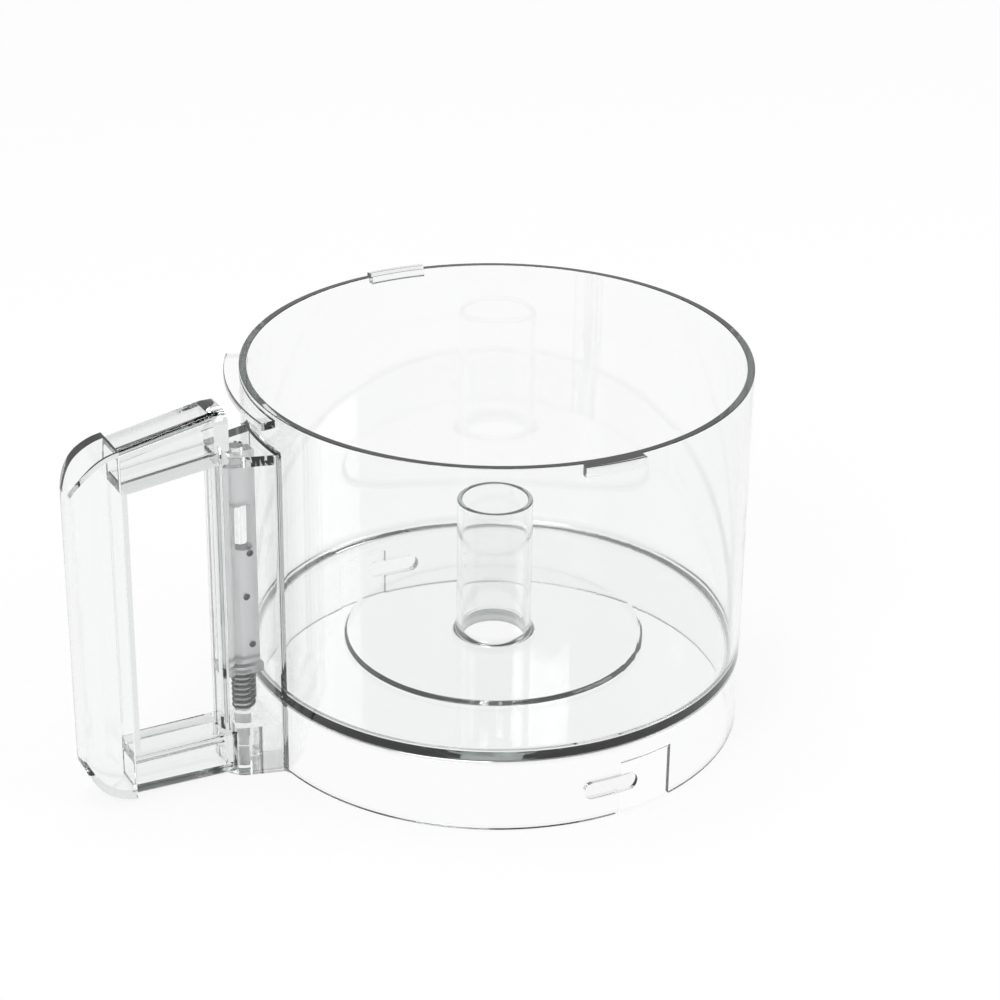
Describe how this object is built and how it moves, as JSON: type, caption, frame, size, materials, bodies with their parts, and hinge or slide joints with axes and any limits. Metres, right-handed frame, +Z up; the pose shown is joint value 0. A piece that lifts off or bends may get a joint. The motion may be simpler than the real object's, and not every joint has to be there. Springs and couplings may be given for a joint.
{
  "type": "food processor bowl",
  "caption": "Clear round food processor bowl with a hub tube, a twist-lock skirt, and a hollow side handle holding a sprung lid interlock rod.",
  "frame": {"origin": "on the bowl's axis, in the plane of the skirt's bottom edge", "axes": "+Z up along the bowl's axis towards the open rim, -X through the middle of the handle, +Y to the side with the rim's lead-in tab"},
  "size_m": [0.2647, 0.1964, 0.148],
  "materials": {
    "clear_polycarbonate": "clear polished polycarbonate",
    "frosted_guide": "translucent moulded plastic",
    "natural_acetal": "translucent grey-white moulding",
    "spring_steel": "drawn stainless wire"
  },
  "bodies": {
    "bowl_unit": {"bowl": "clear_polycarbonate", "handle": "clear_polycarbonate", "grip_cover": "clear_polycarbonate", "rod_guide": "frosted_guide", "return_spring": "spring_steel"},
    "rod_unit": {"interlock_rod": "natural_acetal"}
  },
  "joints": [
    {"name": "rod_slide", "type": "slide", "parent": "bowl_unit", "child": "rod_unit", "axis": [0, 0, -1], "range_m": [0, 0.004], "stiffness_N_per_m": 400, "springref_m": -0.01, "deforming": ["return_spring"]}
  ]
}
